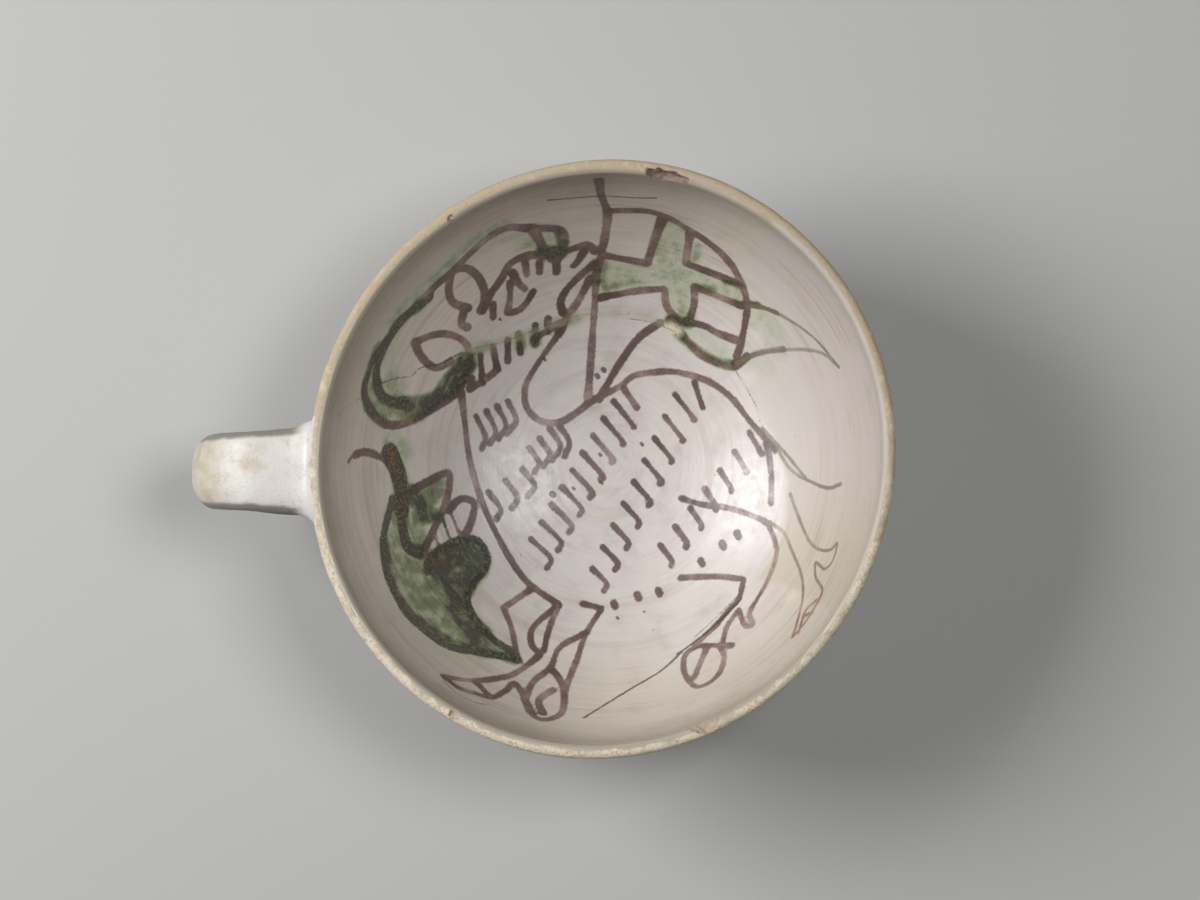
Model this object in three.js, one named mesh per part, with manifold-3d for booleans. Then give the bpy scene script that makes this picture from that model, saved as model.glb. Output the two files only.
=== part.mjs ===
// A one-handled drinking bowl of glazed earthenware, thrown on the wheel and fired in one piece:
// a deep round body on a flat disc foot, with a strap handle luted to its wall before firing.
// Units are millimetres, +Z is up. The origin is the centre of the foot's underside,
// and the handle stands out towards -X.
import * as THREE from 'three';
import { mergeVertices } from 'three/addons/utils/BufferGeometryUtils.js';
import Module from 'manifold-3d';

// Body
const RIM_RADIUS = 70; // mean outside radius of the lip
const HEIGHT = 62; // foot to lip
const LIP_THICKNESS = 3.2;
const LIP_ROUND = 1.3; // height of the rounded top of the lip
const FLOOR_THICKNESS = 7.2; // clay under the middle of the floor
const OUTER_FULLNESS = 2.3; // superellipse power of the outside, 2 is a plain ellipse
const INNER_FULLNESS = 2.2; // the same for the inside

// Foot
const FOOT_RADIUS = 31;
const FOOT_HEIGHT = 4.2;
const FOOT_EDGE = 0.8; // worn edge at the underside
const NECK_RADIUS = 32; // where the wall springs from the foot
const NECK_HEIGHT = 5.6;

// Unevenness of the throwing
const OVAL_SHARE = 0.0185; // the rim is longer one way by this share of its radius, and shorter across
const OVAL_ANGLE = THREE.MathUtils.degToRad(62); // direction of the long way, from +X
const LIP_SWAY = 0.45; // the lip rises and dips by this much around its run

// Strap handle
const STRAP_WIDTH = 19; // halfway out
const STRAP_TAPER = 0.1; // share by which it is wider at the wall, and narrower at the end of the loop
const STRAP_THICKNESS = 7.4;
const STRAP_SQUARENESS = 3; // superellipse power of the strap's section
const HANDLE_REACH = 100; // outermost point of the loop from the bowl's axis
const HANDLE_OFFSET = -2.6; // the loop stands this far to one side of the axis
const HANDLE_TOP = 55.5; // middle of the strap where it leaves the wall
const HANDLE_BOTTOM = 24.5; // middle of the strap where it comes back
const BEND_DEPTH = 14.5; // how far out of the straight runs the bend of the loop reaches
const BEND_ROUNDING = 0.14; // share of the bend by which the strap's edges fall short of its middle
const EDGE_POWER = 3; // how close to the edges that rounding keeps
const ROOT_TOP_RADIUS = 64; // the strap's ends are pushed into the wall
const ROOT_BOTTOM_RADIUS = 52;
const ROOT_FLARE = 1.9; // the clay is smeared out this much wider on each side of a root
const FLARE_LENGTH = 2.2; // how far out along the strap the smearing reaches

// Chips broken out of the lip: direction from +X, length along the lip, depth down and place across it
const CHIPS = [
  { angle: 77, length: 10.5, depth: 2.6, inset: 1.6 },
  { angle: 291.5, length: 7.2, depth: 1.7, inset: 1.3 },
];
const CHIP_BREADTH = 4.2; // across the lip

// Fineness of the facets
const TURNS = 88; // around the body
const WALL_STEPS = 13; // up each side of the wall
const LIP_STEPS = 5;
const STRAP_SIDES = 20;
const STRAP_STEPS = 44;
const CHIP_SIDES = 10;

// Worked out from the sizes above
const LIP_BASE = HEIGHT - LIP_ROUND;
const INNER_RADIUS = RIM_RADIUS - LIP_THICKNESS;
const INNER_DEPTH = LIP_BASE - FLOOR_THICKNESS;
const NECK_SHARE = (NECK_RADIUS / RIM_RADIUS) ** OUTER_FULLNESS;
const OUTER_DEPTH = (LIP_BASE - NECK_HEIGHT) / (1 - NECK_SHARE) ** (1 / OUTER_FULLNESS);

const MERGE_DISTANCE = 1e-3; // vertices closer than this are one

const wasm = await Module();
wasm.setup();

// A closed geometry as a solid: seams and poles are merged, and the triangles they collapse are dropped.
function solidFrom(geometry) {
  const bare = geometry.clone();
  bare.deleteAttribute('normal');
  bare.deleteAttribute('uv');
  const merged = mergeVertices(bare, MERGE_DISTANCE);
  const corners = merged.index.array;
  const kept = [];
  for (let i = 0; i < corners.length; i += 3) {
    const [a, b, c] = corners.slice(i, i + 3);
    if (a !== b && b !== c && c !== a) kept.push(a, b, c);
  }
  return new wasm.Manifold(new wasm.Mesh({
    numProp: 3,
    vertProperties: new Float32Array(merged.attributes.position.array),
    triVerts: new Uint32Array(kept),
  }));
}

function geometryFrom(solid) {
  const mesh = solid.getMesh();
  const geometry = new THREE.BufferGeometry();
  geometry.setAttribute('position', new THREE.BufferAttribute(mesh.vertProperties, 3));
  geometry.setIndex(new THREE.BufferAttribute(mesh.triVerts, 1));
  geometry.computeVertexNormals();
  return geometry;
}

function moveVertices(geometry, place) {
  const position = geometry.attributes.position;
  const point = new THREE.Vector3();
  for (let i = 0; i < position.count; i += 1) {
    place(point.fromBufferAttribute(position, i));
    position.setXYZ(i, point.x, point.y, point.z);
  }
  return geometry;
}

function signedPower(value, power) {
  return Math.sign(value) * Math.abs(value) ** power;
}

// Points on a superellipse wall hung from the base of the lip, between two turn angles, 0 at the axis.
function wallPoints(radius, depth, fullness, from, to) {
  return Array.from({ length: WALL_STEPS + 1 }, (_, i) => {
    const turn = from + ((to - from) * i) / WALL_STEPS;
    const across = radius * Math.max(0, Math.sin(turn)) ** (2 / fullness);
    const down = depth * Math.max(0, Math.cos(turn)) ** (2 / fullness);
    return new THREE.Vector2(across, LIP_BASE - down);
  });
}

// The thrown profile, from the middle of the underside round the lip to the middle of the floor.
function bodyProfile() {
  const neckTurn = Math.asin(Math.sqrt(NECK_SHARE));
  const foot = [
    new THREE.Vector2(0, 0),
    new THREE.Vector2(FOOT_RADIUS - FOOT_EDGE, 0),
    new THREE.Vector2(FOOT_RADIUS, FOOT_EDGE),
    new THREE.Vector2(FOOT_RADIUS, FOOT_HEIGHT),
  ];
  const outside = wallPoints(RIM_RADIUS, OUTER_DEPTH, OUTER_FULLNESS, neckTurn, Math.PI / 2);
  const lipMiddle = RIM_RADIUS - LIP_THICKNESS / 2;
  const lip = Array.from({ length: LIP_STEPS - 1 }, (_, i) => {
    const turn = (Math.PI * (i + 1)) / LIP_STEPS;
    return new THREE.Vector2(
      lipMiddle + (LIP_THICKNESS / 2) * Math.cos(turn),
      LIP_BASE + LIP_ROUND * Math.sin(turn),
    );
  });
  const inside = wallPoints(INNER_RADIUS, INNER_DEPTH, INNER_FULLNESS, Math.PI / 2, 0);
  return [...foot, ...outside, ...lip, ...inside];
}

// The wheel leaves the rim a little oval and its edge a little uneven, and the foot true.
function settle(point) {
  const share = THREE.MathUtils.clamp((point.z - FOOT_HEIGHT) / (HEIGHT - FOOT_HEIGHT), 0, 1);
  const around = Math.atan2(point.y, point.x);
  const wave = Math.cos(2 * (around - OVAL_ANGLE));
  const spread = 1 + OVAL_SHARE * wave * share;
  point.x *= spread;
  point.y *= spread;
  point.z += LIP_SWAY * Math.sin(3 * around) * share ** 2;
}

function throwOnWheel(profile) {
  const lathe = new THREE.LatheGeometry(profile, TURNS);
  lathe.rotateX(Math.PI / 2);
  return solidFrom(moveVertices(lathe, settle));
}

// The room inside the middle of the wall, closed above the lip. The strap's ends stop at it.
function makeCore() {
  const radius = (RIM_RADIUS + INNER_RADIUS) / 2;
  const depth = (OUTER_DEPTH + INNER_DEPTH) / 2;
  const fullness = (OUTER_FULLNESS + INNER_FULLNESS) / 2;
  return throwOnWheel([
    ...wallPoints(radius, depth, fullness, 0, Math.PI / 2),
    new THREE.Vector2(radius, HEIGHT),
    new THREE.Vector2(0, HEIGHT),
  ]);
}

// Radius of the outside of the wall at a height above the foot's underside.
function outsideRadius(height) {
  const down = Math.max(0, LIP_BASE - height) / OUTER_DEPTH;
  return RIM_RADIUS * (1 - down ** OUTER_FULLNESS) ** (1 / OUTER_FULLNESS);
}

// Middle line of the strap, in the plane of the bowl's radius and height.
function handleLine(bendStart) {
  const middle = (HANDLE_TOP + HANDLE_BOTTOM) / 2;
  const line = new THREE.Path();
  line.moveTo(ROOT_TOP_RADIUS, HANDLE_TOP);
  line.lineTo(bendStart, HANDLE_TOP);
  line.absellipse(bendStart, middle, BEND_DEPTH, HANDLE_TOP - middle, Math.PI / 2, -Math.PI / 2, true);
  line.lineTo(ROOT_BOTTOM_RADIUS, HANDLE_BOTTOM);
  return line;
}

function makeHandle() {
  const bendStart = HANDLE_REACH - STRAP_THICKNESS / 2 - BEND_DEPTH;
  const line = handleLine(bendStart);
  const strap = new THREE.CylinderGeometry(1, 1, 1, STRAP_SIDES, STRAP_STEPS);
  const corner = 2 / STRAP_SQUARENESS;
  moveVertices(strap, (point) => {
    const along = 0.5 - point.y;
    const middle = line.getPointAt(along);
    const heading = line.getTangentAt(along);
    const toWall = Math.max(0, middle.x - outsideRadius(middle.y));
    const flare = ROOT_FLARE * Math.exp(-((toWall / FLARE_LENGTH) ** 2));
    const share = signedPower(point.x, corner);
    const outward = THREE.MathUtils.clamp((middle.x - RIM_RADIUS) / (HANDLE_REACH - RIM_RADIUS), 0, 1);
    const width = STRAP_WIDTH * (1 + STRAP_TAPER * (1 - 2 * outward));
    const across = (width / 2 + flare) * share;
    const through = (STRAP_THICKNESS / 2 + flare / 2) * signedPower(point.z, corner);
    const reach = middle.x - heading.y * through;
    const rounding = BEND_ROUNDING * Math.abs(share) ** EDGE_POWER;
    point.set(
      rounding * Math.max(0, reach - bendStart) - reach,
      HANDLE_OFFSET - across,
      middle.y + heading.x * through,
    );
  });
  return solidFrom(strap).subtract(makeCore());
}

// What broke away from the lip at one chip: a lens of clay on the inner edge of the rim.
function makeChip({ angle, length, depth, inset }) {
  const around = THREE.MathUtils.degToRad(angle);
  const spread = 1 + OVAL_SHARE * Math.cos(2 * (around - OVAL_ANGLE));
  const reach = (RIM_RADIUS - LIP_THICKNESS / 2) * spread - inset;
  const lens = new THREE.SphereGeometry(0.5, CHIP_SIDES, CHIP_SIDES);
  lens.scale(CHIP_BREADTH, length, depth * 2);
  lens.rotateZ(around);
  lens.translate(reach * Math.cos(around), reach * Math.sin(around), HEIGHT);
  return solidFrom(lens);
}

function makeBowl() {
  const whole = throwOnWheel(bodyProfile()).add(makeHandle());
  return CHIPS.reduce((clay, chip) => clay.subtract(makeChip(chip)), whole);
}

const glazedEarthenware = new THREE.MeshStandardMaterial({
  color: 0xcbc3b8,
  roughness: 0.32,
  metalness: 0,
});

const bowl = new THREE.Mesh(geometryFrom(makeBowl()), glazedEarthenware);
bowl.name = 'bowl';

const part = new THREE.Group();
part.add(bowl);

export default part;
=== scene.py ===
import bpy
import math
import numpy as np
from mathutils import Matrix, Vector, noise
from mathutils.bvhtree import BVHTree


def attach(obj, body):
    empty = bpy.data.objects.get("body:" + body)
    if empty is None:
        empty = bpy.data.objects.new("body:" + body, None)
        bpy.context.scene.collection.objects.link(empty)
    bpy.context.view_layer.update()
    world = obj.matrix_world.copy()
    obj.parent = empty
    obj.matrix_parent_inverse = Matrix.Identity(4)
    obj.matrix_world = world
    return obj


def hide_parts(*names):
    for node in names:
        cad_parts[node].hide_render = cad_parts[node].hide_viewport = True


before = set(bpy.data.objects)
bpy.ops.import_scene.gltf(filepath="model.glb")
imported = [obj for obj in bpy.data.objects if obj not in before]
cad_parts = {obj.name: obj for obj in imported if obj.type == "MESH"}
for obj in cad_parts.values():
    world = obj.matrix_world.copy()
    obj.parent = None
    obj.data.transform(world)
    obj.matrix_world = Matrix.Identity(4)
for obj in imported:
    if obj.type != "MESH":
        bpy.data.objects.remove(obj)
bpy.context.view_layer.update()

mm = 0.001  # sizes are in millimetres, meshes in metres


# Hands: small helpers for picking, editing and reading meshes
def focus(piece):
    bpy.ops.object.select_all(action="DESELECT")
    piece.select_set(True)
    bpy.context.view_layer.objects.active = piece


def places(piece):
    flat = np.empty(len(piece.data.vertices) * 3, np.float32)
    piece.data.vertices.foreach_get("co", flat)
    return flat.reshape(-1, 3).astype(float) / mm


def setPlaces(piece, points):
    piece.data.vertices.foreach_set("co", (points * mm).astype(np.float32).ravel())
    piece.data.update()


def edgeEnds(piece):
    flat = np.empty(len(piece.data.edges) * 2, np.int32)
    piece.data.edges.foreach_get("vertices", flat)
    return flat.reshape(-1, 2)


def pickVertices(piece, wanted):
    data = piece.data
    ends = edgeEnds(piece)
    data.vertices.foreach_set("select", wanted)
    data.edges.foreach_set("select", wanted[ends[:, 0]] & wanted[ends[:, 1]])
    data.polygons.foreach_set("select", [all(wanted[i] for i in p.vertices) for p in data.polygons])


def pickEdges(piece, wanted):
    data = piece.data
    ends = edgeEnds(piece)
    touched = np.zeros(len(data.vertices), bool)
    touched[ends[wanted].ravel()] = True
    data.polygons.foreach_set("select", np.zeros(len(data.polygons), bool))
    data.vertices.foreach_set("select", touched)
    data.edges.foreach_set("select", wanted)


def enterEdit(piece, selectMode, everything=False):
    focus(piece)
    bpy.context.tool_settings.mesh_select_mode = [selectMode == kind for kind in ("VERT", "EDGE", "FACE")]
    bpy.ops.object.mode_set(mode="EDIT")
    if everything:
        bpy.ops.mesh.select_all(action="SELECT")


def leaveEdit():
    bpy.ops.object.mode_set(mode="OBJECT")


orderFrom = (0.1371, 0.0713, 0.0291)  # an odd spot, so that hardly two points are equally far from it


def putInOrder(piece):  # Blender's tools number what they make by chance, so each run is sorted alike
    bpy.context.scene.cursor.location = orderFrom
    enterEdit(piece, "VERT", True)
    bpy.ops.mesh.sort_elements(type="CURSOR_DISTANCE", elements={"VERT", "EDGE", "FACE"})
    leaveEdit()
    bpy.context.scene.cursor.location = (0, 0, 0)


def evenSteps(points, step):  # the same line with its points a step apart
    points = np.asarray(points, float)
    lengths = np.concatenate([[0], np.cumsum(np.linalg.norm(np.diff(points, axis=0), axis=1))])
    count = max(2, int(round(lengths[-1] / step)) + 1)
    spots = np.linspace(0, lengths[-1], count)
    return np.stack([np.interp(spots, lengths, column) for column in points.T], axis=1)


def radiusOf(points):
    return np.hypot(points[:, 0], points[:, 1])


def aroundOf(points):
    return np.arctan2(points[:, 1], points[:, 0])


def smoothStep(values, low, high):
    share = np.clip((values - low) / (high - low), 0, 1)
    return share * share * (3 - 2 * share)


def grainAt(points, size, seed):  # soft noise from -1 to 1 with features of about that size
    shift = Vector((seed * 17.3, seed * 5.1, seed * 9.7))
    return np.array([noise.noise(Vector(point) / size + shift) for point in points])


# The camera looks almost straight down, as over a table
camera = {
    "distance": 900.0,  # from the plane of the lip
    "lean": 3.1,  # degrees off the bowl's axis
    "leanTowards": -37.0,  # degrees from +X
    "aim": (-0.22, 2.0),  # point of the lip's plane in the middle of the picture
    "lens": 114.6, "sensor": 36.0, "near": 0.01,
}

clay = {
    "rimRadius": 70.0, "height": 62.0, "lip": 3.2, "lipRound": 1.3, "floor": 7.2,
    "outerFullness": 2.3, "innerFullness": 2.2,
    "footRadius": 31.0, "footHeight": 4.2, "footEdge": 0.8, "neckRadius": 32.0, "neckHeight": 5.6,
    "ovalShare": 0.0185, "ovalAngle": 62.0, "lipSway": 0.45,
    "turns": 128,  # facets around before the rings are split
    "innerStep": 1.25, "outerStep": 2.1, "underStep": 2.4, "footStep": 1.2, "lipSteps": 10,
    "splitInside": (16.0, 63.0), "splitOutside": 22.0,  # radii past which the facets are halved
    "lipZone": 2.0,  # how far under the lip's base its finer facets reach
    "lowWall": 14.0, "lowOutside": 8.0,  # height where floor turns to wall, and the outside's height there
    "merge": 0.01, "fold": 0.004, "sliver": 0.01,  # distances under which points are one
    "sameHeight": 1e-4, "sameRadius": 1e-3, "axisRadius": 0.1,  # what makes an edge part of a ring
    "footBevel": 0.3, "sideClear": (0.8, 0.5),  # share of the foot's edge, and the side's gaps at its ends
    "cove": ((0.1, 0.0), (0.35, 0.7)),  # a small hollow under the wall, out from the foot and up
    "samples": 400,
}


def lookDirection():
    lean = math.radians(camera["lean"])
    towards = math.radians(camera["leanTowards"])
    return Vector((math.sin(lean) * math.cos(towards), math.sin(lean) * math.sin(towards), math.cos(lean)))


def aimPoint():
    return Vector((*camera["aim"], clay["height"]))


def eyePoint():
    return aimPoint() + lookDirection() * camera["distance"]


def setCamera():
    back = lookDirection()
    right = Vector((0, 1, 0)).cross(back).normalized()
    up = back.cross(right)
    data = bpy.data.cameras.new("camera")
    data.lens = camera["lens"]
    data.sensor_width = camera["sensor"]
    data.sensor_fit = "HORIZONTAL"
    data.clip_start = camera["near"]
    eye = bpy.data.objects.new("camera", data)
    turn = Matrix((right, up, back)).transposed().to_4x4()
    eye.matrix_world = Matrix.Translation(eyePoint() * mm) @ turn
    bpy.context.scene.collection.objects.link(eye)
    bpy.context.scene.camera = eye


# Form of the wall: superellipses hung from the base of the lip
lipBase = clay["height"] - clay["lipRound"]
innerRadius = clay["rimRadius"] - clay["lip"]
innerDepth = lipBase - clay["floor"]
lipMiddle = clay["rimRadius"] - clay["lip"] / 2
neckShare = (clay["neckRadius"] / clay["rimRadius"]) ** clay["outerFullness"]
outerDepth = (lipBase - clay["neckHeight"]) / (1 - neckShare) ** (1 / clay["outerFullness"])


def wallRadius(height, radius, depth, fullness):
    down = np.clip((lipBase - height) / depth, 0, 1)
    return radius * (1 - down ** fullness) ** (1 / fullness)


def outerRadiusAt(height):
    return wallRadius(height, clay["rimRadius"], outerDepth, clay["outerFullness"])


def innerRadiusAt(height):
    return wallRadius(height, innerRadius, innerDepth, clay["innerFullness"])


def innerHeightAt(radius):
    share = np.clip(radius / innerRadius, 0, 1)
    return lipBase - innerDepth * (1 - share ** clay["innerFullness"]) ** (1 / clay["innerFullness"])


def settleShare(height):
    return np.clip((height - clay["footHeight"]) / (clay["height"] - clay["footHeight"]), 0, 1)


def ovalSpread(points):
    wave = np.cos(2 * (aroundOf(points) - math.radians(clay["ovalAngle"])))
    return 1 + clay["ovalShare"] * wave * settleShare(points[:, 2])


def sway(points):
    return clay["lipSway"] * np.sin(3 * aroundOf(points)) * settleShare(points[:, 2]) ** 2


def settle(points):
    settled = points.copy()
    settled[:, :2] *= ovalSpread(points)[:, None]
    settled[:, 2] += sway(points)
    return settled


def unsettle(points):  # back to the round bowl, close enough for reading radii
    rounded = points.copy()
    rounded[:, 2] -= sway(points)
    rounded[:, :2] /= ovalSpread(rounded)[:, None]
    return rounded


def isInside(points):
    radius = radiusOf(points)
    middle = (innerHeightAt(radius) + np.where(radius < clay["footRadius"], 0, clay["lowOutside"])) / 2
    wall = (innerRadiusAt(points[:, 2]) + outerRadiusAt(points[:, 2])) / 2
    low = points[:, 2] < clay["neckHeight"]
    return ~low & np.where(points[:, 2] < clay["lowWall"], points[:, 2] > middle, radius < wall)


# The thrown profile, from the middle of the underside round the lip to the middle of the floor
def profileLine():
    turn = np.linspace(math.asin(math.sqrt(neckShare)), math.pi / 2, clay["samples"])
    power = 2 / clay["outerFullness"]
    outside = np.stack([clay["rimRadius"] * np.sin(turn) ** power,
                        lipBase - outerDepth * np.clip(np.cos(turn), 0, 1) ** power], axis=1)
    turn = np.linspace(math.pi / 2, 0, clay["samples"])
    power = 2 / clay["innerFullness"]
    inside = np.stack([innerRadius * np.clip(np.sin(turn), 0, 1) ** power,
                       lipBase - innerDepth * np.clip(np.cos(turn), 0, 1) ** power], axis=1)
    turn = np.linspace(0, math.pi, clay["lipSteps"] + 1)[1:-1]
    lip = np.stack([lipMiddle + clay["lip"] / 2 * np.cos(turn),
                    lipBase + clay["lipRound"] * np.sin(turn)], axis=1)
    edge, foot, top = clay["footEdge"], clay["footRadius"], clay["footHeight"]
    underside = evenSteps([(0, 0), (foot - edge, 0)], clay["underStep"])
    bevel = edge * clay["footBevel"]
    corner = [(foot - bevel, bevel), (foot, edge)]
    below, above = clay["sideClear"]
    side = evenSteps([(foot, edge + below), (foot, top - above)], clay["footStep"])
    cove = [(foot + out, top + up) for out, up in clay["cove"]]
    return np.concatenate([underside, corner, side, cove, evenSteps(outside, clay["outerStep"]), lip,
                           evenSteps(inside, clay["innerStep"])])


def splitRings(piece, steps, wanted):  # halves the facets of the wanted rings, and keeps them round
    points = places(piece)
    radius = radiusOf(points)
    ends = edgeEnds(piece)
    first, second = ends[:, 0], ends[:, 1]
    ring = np.abs(points[first, 2] - points[second, 2]) < clay["sameHeight"]
    ring &= np.abs(radius[first] - radius[second]) < clay["sameRadius"]
    ring &= radius[first] > clay["axisRadius"]
    pickEdges(piece, ring & wanted[first])
    enterEdit(piece, "EDGE")
    bpy.ops.mesh.subdivide(number_cuts=1, ngon=False)
    leaveEdit()
    moved = places(piece)
    moved[len(points):, :2] /= math.cos(math.pi / steps)
    setPlaces(piece, moved)
    putInOrder(piece)


def throwBody():
    line = profileLine()
    bpy.ops.object.select_all(action="DESELECT")
    bpy.ops.mesh.primitive_circle_add(vertices=len(line), radius=clay["rimRadius"] * mm,
                                      fill_type="NOTHING")
    body = bpy.context.object
    body.name = "glazed_bowl"
    ends = edgeEnds(body)
    pickEdges(body, np.abs(ends[:, 0] - ends[:, 1]) > 1)  # the ring is opened into a line
    enterEdit(body, "EDGE")
    bpy.ops.mesh.delete(type="EDGE")
    leaveEdit()
    setPlaces(body, np.stack([line[:, 0], np.zeros(len(line)), line[:, 1]], axis=1))
    enterEdit(body, "VERT", True)
    bpy.ops.mesh.spin(steps=clay["turns"], angle=2 * math.pi, center=(0, 0, 0), axis=(0, 0, 1))
    bpy.ops.mesh.select_all(action="SELECT")
    bpy.ops.mesh.remove_doubles(threshold=clay["merge"] * mm)
    bpy.ops.mesh.normals_make_consistent(inside=False)
    leaveEdit()
    putInOrder(body)
    firstRadius, secondRadius = clay["splitInside"]
    for steps, radiusIn, radiusOut in ((clay["turns"], firstRadius, clay["splitOutside"]),
                                       (clay["turns"] * 2, secondRadius, None)):
        points = places(body)
        radius = radiusOf(points)
        inside = isInside(points)
        lip = points[:, 2] > lipBase - clay["lipZone"]
        outside = ~inside & (radius > radiusOut) if radiusOut else np.zeros(len(points), bool)
        splitRings(body, steps, (inside & (radius > radiusIn)) | lip | outside)
    setPlaces(body, settle(places(body)))
    print("body thrown:", len(body.data.polygons), "faces")
    return body


# The strap handle, pulled from a cylinder along its line and luted to the wall
strap = {
    "width": 19.0, "taper": 0.1, "thickness": 7.4, "squareness": 3.0,
    "reach": 100.0, "offset": -2.6, "top": 55.5, "bottom": 24.5, "bendDepth": 14.5,
    "bendRounding": 0.14, "edgePower": 3, "flare": 1.9, "flareLength": 2.2,
    "sides": 44, "stations": 84, "rootLength": 16.0,
    "lump": 0.32, "lumpSize": 8.0, "fineShare": 0.3, "fineSize": 2.0,  # finger marks, broad and fine
    "samples": 160,
    "smearReach": 2.6, "smearRounds": 14, "smearZone": (-45.0, 16.0),  # along X, and half way across
    "glazeFrom": (0.35, 2.2),  # distance from the wall over which it turns to handle
    "glazeZone": (-50.0, 9.6), "lipEnd": -73.0,  # X and height past which handle can be, X past the lip
}


def middleWall(height, across):  # distance from the axis's plane to the middle of the wall
    radius = (outerRadiusAt(height) + innerRadiusAt(height)) / 2
    return np.sqrt(np.maximum(radius ** 2 - across ** 2, 1))


def strapLine(bendStart):
    middle = (strap["top"] + strap["bottom"]) / 2
    turn = np.linspace(math.pi / 2, -math.pi / 2, strap["samples"])
    bend = np.stack([bendStart + strap["bendDepth"] * np.cos(turn),
                     middle + (strap["top"] - middle) * np.sin(turn)], axis=1)
    start = (middleWall(strap["top"], strap["offset"]), strap["top"])
    end = (middleWall(strap["bottom"], strap["offset"]), strap["bottom"])
    return np.concatenate([[start], bend, [end]])


def strapWidth(reach):  # wider at the wall, narrower at the end of the loop
    outward = np.clip((reach - clay["rimRadius"]) / (strap["reach"] - clay["rimRadius"]), 0, 1)
    return strap["width"] * (1 + strap["taper"] * (1 - 2 * outward))


def pullStrap():
    bendStart = strap["reach"] - strap["thickness"] / 2 - strap["bendDepth"]
    line = strapLine(bendStart)
    length = np.linalg.norm(np.diff(line, axis=0), axis=1).sum()
    stations = evenSteps(line, length / (strap["stations"] - 1))
    headings = np.gradient(stations, axis=0)
    headings /= np.linalg.norm(headings, axis=1)[:, None]
    bpy.ops.object.select_all(action="DESELECT")
    bpy.ops.mesh.primitive_cylinder_add(vertices=strap["sides"], radius=mm, depth=mm)
    handle = bpy.context.object
    points = places(handle)
    ends = edgeEnds(handle)
    pickEdges(handle, np.abs(points[ends[:, 0], 2] - points[ends[:, 1], 2]) > 0.5)
    enterEdit(handle, "EDGE")
    bpy.ops.mesh.subdivide(number_cuts=len(stations) - 2)
    leaveEdit()
    points = places(handle)
    along = 0.5 - points[:, 2]
    spot = np.rint(along * (len(stations) - 1)).astype(int)
    middle, heading = stations[spot], headings[spot]
    corner = 2 / strap["squareness"]
    share = np.sign(points[:, 0]) * np.abs(points[:, 0]) ** corner
    depthShare = np.sign(points[:, 1]) * np.abs(points[:, 1]) ** corner
    toWall = np.maximum(0, middle[:, 0] - outerRadiusAt(middle[:, 1]))
    flare = strap["flare"] * np.exp(-((toWall / strap["flareLength"]) ** 2))
    across = strap["offset"] - (strapWidth(middle[:, 0]) / 2 + flare) * share
    through = (strap["thickness"] / 2 + flare / 2) * depthShare
    reach = middle[:, 0] - heading[:, 1] * through
    height = middle[:, 1] + heading[:, 0] * through
    reach -= strap["bendRounding"] * np.abs(share) ** strap["edgePower"] * np.maximum(0, reach - bendStart)
    toEnd = np.minimum(along, 1 - along) * length
    rooted = 1 - smoothStep(toEnd, 0, strap["rootLength"])  # near a root the section leans with the wall
    reach += rooted * (middleWall(height, across) - middleWall(middle[:, 1], strap["offset"]))
    setPlaces(handle, np.stack([-reach, across, height], axis=1))
    enterEdit(handle, "FACE", True)
    bpy.ops.mesh.normals_make_consistent(inside=False)
    leaveEdit()
    putInOrder(handle)
    return handle


def meshTree(piece):
    return BVHTree.FromPolygons([v.co.copy() for v in piece.data.vertices],
                                [tuple(p.vertices) for p in piece.data.polygons])


def nearest(surface, points):
    return np.array([surface.find_nearest(Vector(point) * mm)[3] for point in points]) / mm


def cut(piece, tool, operation):
    modifier = piece.modifiers.new(operation, "BOOLEAN")
    modifier.operation = operation
    modifier.solver = "EXACT"
    modifier.object = tool
    focus(piece)
    bpy.ops.object.modifier_apply(modifier=modifier.name)
    bpy.data.objects.remove(tool)
    putInOrder(piece)


def luteHandle(body):
    handle = pullStrap()
    wallTree, strapTree = meshTree(body), meshTree(handle)
    cut(body, handle, "UNION")
    points = places(body)
    along, half = strap["smearZone"]
    zone = (points[:, 0] < along) & (np.abs(points[:, 1] - strap["offset"]) < half)
    zone &= ~isInside(unsettle(points))
    spots = np.flatnonzero(zone)
    gap = np.maximum(nearest(wallTree, points[spots]), nearest(strapTree, points[spots]))
    joint = np.zeros(len(points), bool)
    joint[spots[gap < strap["smearReach"]]] = True
    pickVertices(body, joint)
    enterEdit(body, "VERT")
    bpy.ops.mesh.vertices_smooth(factor=0.5, repeat=strap["smearRounds"])
    leaveEdit()
    print("handle luted:", int(joint.sum()), "vertices smeared")


# Chips broken out of the lip, each a lumpy lens taken away
chips = {
    "breadth": 4.2, "lump": 0.3, "lumpSize": 1.5, "detail": 4, "zone": 5.0,  # how far down a chip shows
    "places": (  # direction in degrees, length along the lip, depth, place inwards of the lip's middle
        (77.0, 10.5, 2.6, 1.6), (291.5, 7.2, 1.7, 1.3), (240.0, 2.2, 0.5, 0.2), (122.0, 1.8, 0.5, 0.9),
    ),
}


def chipTool(angle, length, depth, inset):
    bpy.ops.object.select_all(action="DESELECT")
    bpy.ops.mesh.primitive_ico_sphere_add(subdivisions=chips["detail"], radius=mm)
    tool = bpy.context.object
    points = places(tool)
    points *= (min(chips["breadth"], length) / 2, length / 2, depth)
    points *= 1 + chips["lump"] * grainAt(points, chips["lumpSize"], angle)[:, None]
    around = math.radians(angle)
    outward = np.array([math.cos(around), math.sin(around), 0])
    along = np.array([-math.sin(around), math.cos(around), 0])
    crest = settle((lipMiddle * outward + (0, 0, clay["height"]))[None])[0]
    spun = points[:, :1] * outward + points[:, 1:2] * along + points[:, 2:] * np.array([0, 0, 1])
    setPlaces(tool, crest - inset * outward + spun)
    return tool


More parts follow.
